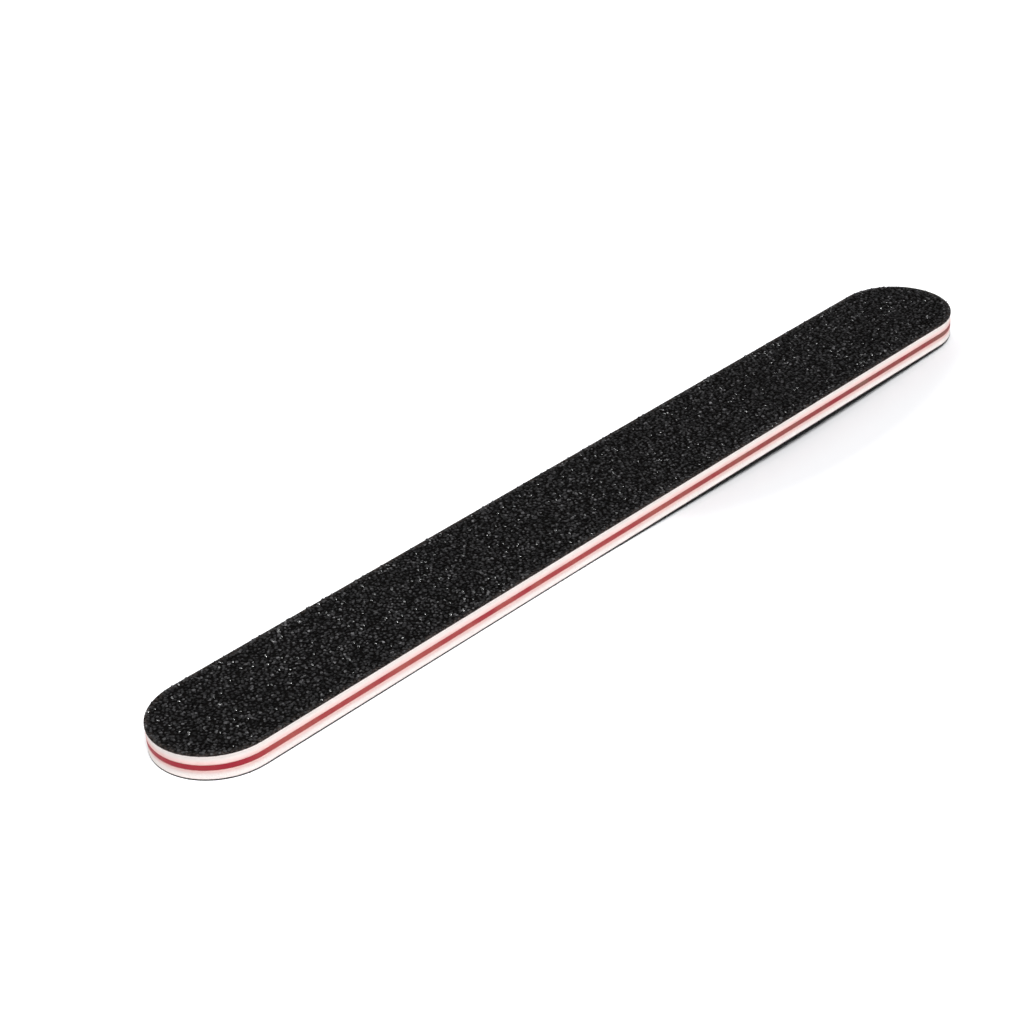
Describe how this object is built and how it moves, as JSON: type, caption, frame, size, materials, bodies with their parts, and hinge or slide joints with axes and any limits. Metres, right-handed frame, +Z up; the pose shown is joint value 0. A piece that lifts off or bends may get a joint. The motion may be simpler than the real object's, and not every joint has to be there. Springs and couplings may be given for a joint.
{
  "type": "emery board",
  "caption": "Flat cushioned nail file with full-round ends: a red plastic core strip between white foam layers, faced on both sides with black abrasive paper.",
  "frame": {"origin": "centre of the lower grit face, which the board lies on", "axes": "+X along the board's length, +Y across its width, +Z up through its layers"},
  "size_m": [0.178, 0.02, 0.0045],
  "materials": {
    "grit": "rough silicon carbide grains",
    "bond": "cured phenolic resin",
    "paper": "latex-filled backing paper",
    "adhesive": "clear contact adhesive",
    "foam": "matte closed-cell foam",
    "core": "satin polystyrene sheet"
  },
  "bodies": {
    "root": {"lower_grit_layer": "grit", "lower_bond_coat": "bond", "lower_backing_paper": "paper", "lower_paper_adhesive": "adhesive", "lower_foam_layer": "foam", "lower_core_adhesive": "adhesive", "upper_grit_layer": "grit", "upper_bond_coat": "bond", "upper_backing_paper": "paper", "upper_paper_adhesive": "adhesive", "upper_foam_layer": "foam", "upper_core_adhesive": "adhesive", "core_strip": "core"}
  },
  "joints": []
}
